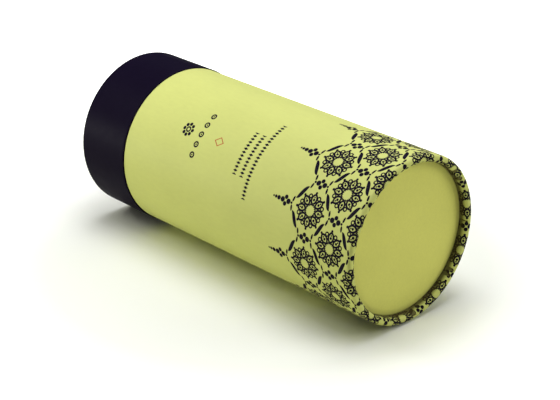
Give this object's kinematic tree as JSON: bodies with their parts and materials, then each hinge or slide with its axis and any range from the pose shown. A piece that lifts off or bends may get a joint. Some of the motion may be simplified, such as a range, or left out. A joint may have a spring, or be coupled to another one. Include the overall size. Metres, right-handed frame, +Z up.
{
  "type": "gift tube box",
  "caption": "Round paperboard gift tube lying on its side, with a rolled base rim, a recessed base disc and a dark pull-off lid on an inner neck.",
  "frame": {"origin": "on the floor under the middle of the tube as it lies on its side", "axes": "+X along the tube's axis towards the base with its rolled rim, -X towards the lid, +Z up"},
  "size_m": [0.166, 0.071, 0.0709],
  "materials": {
    "printed_paper": "matt uncoated, yellow-green with a dark printed band",
    "plain_paper": "matt uncoated, yellow-green",
    "dark_paper": "smooth matt, near-black aubergine",
    "white_paper": "matt white lining",
    "lined_board": "white-lined wound board",
    "board": "grey wound board"
  },
  "bodies": {
    "tube": {"body_tube": "board", "body_wrap": "printed_paper", "neck_tube": "lined_board", "neck_paper": "dark_paper", "base_disc_paper": "plain_paper", "base_disc": "board", "base_disc_lining": "white_paper"},
    "lid": {"lid_tube": "lined_board", "lid_wrap": "dark_paper", "lid_disc_paper": "dark_paper", "lid_disc": "board", "lid_disc_lining": "white_paper", "lid_ring": "lined_board"}
  },
  "joints": [
    {"name": "lid_slide", "type": "slide", "parent": "tube", "child": "lid", "axis": [-1, 0, 0], "range_m": [0, 0.06]}
  ]
}
